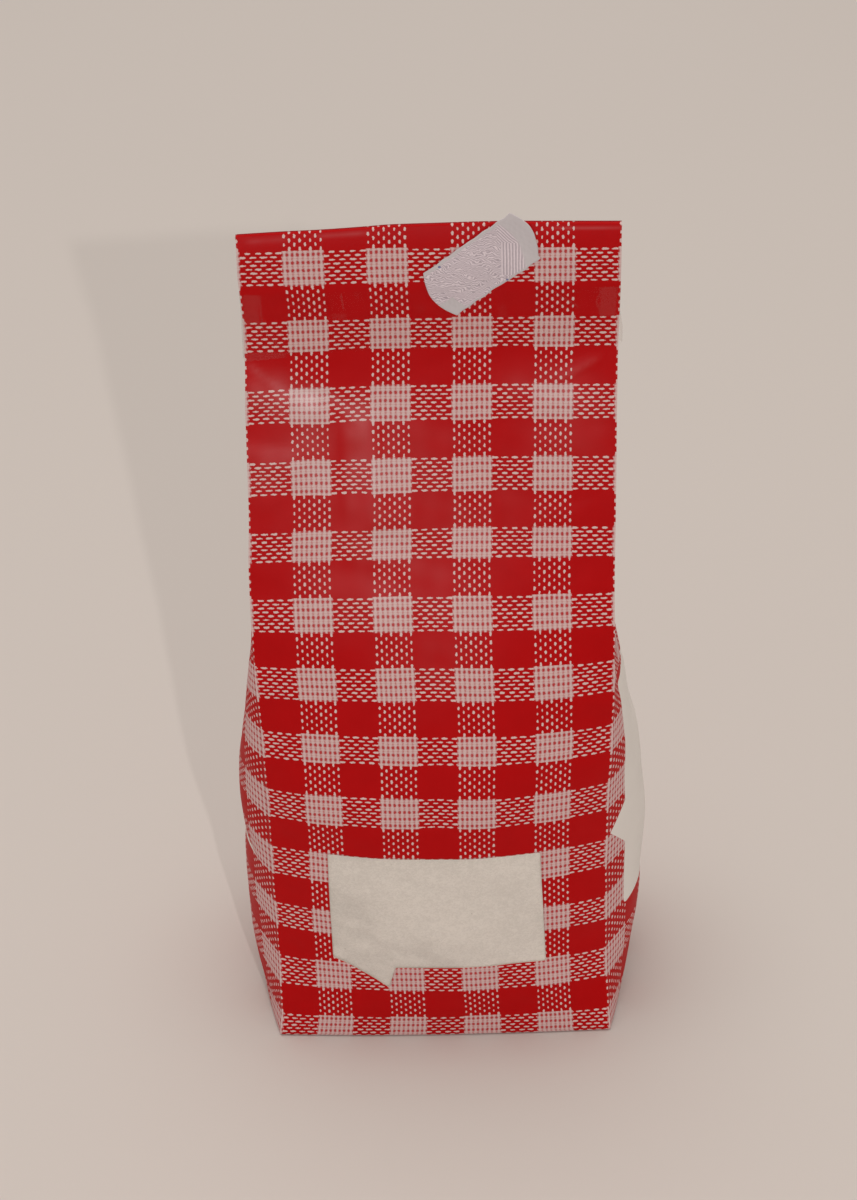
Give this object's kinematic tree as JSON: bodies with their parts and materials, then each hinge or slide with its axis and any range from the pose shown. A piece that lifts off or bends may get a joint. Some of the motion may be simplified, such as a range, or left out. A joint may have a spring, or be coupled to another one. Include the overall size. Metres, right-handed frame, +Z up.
{
  "type": "bag of sea salt",
  "caption": "Standing side-gusset paper bag of sea salt, red and white check print, clear window, top folded over and taped, price label.",
  "frame": {"origin": "centre of the base, on the surface that the bag stands on", "axes": "+Z up, -Y out of the front panel with the window, +X to the right seen from the front"},
  "size_m": [0.0964, 0.0616, 0.2228],
  "materials": {
    "printed_paper": "paper printed with a red and white woven check, thin gloss coat",
    "salt": "fine warm white grains, matte",
    "film": "clear thin film",
    "tape": "clear adhesive tape, hazy where it doesn't stick",
    "label_paper": "uncoated label paper, pale lilac, finely pressed"
  },
  "bodies": {
    "root": {"bag": "printed_paper", "salt": "salt", "window_film": "film", "tape": "tape", "price_label": "label_paper"}
  },
  "joints": []
}
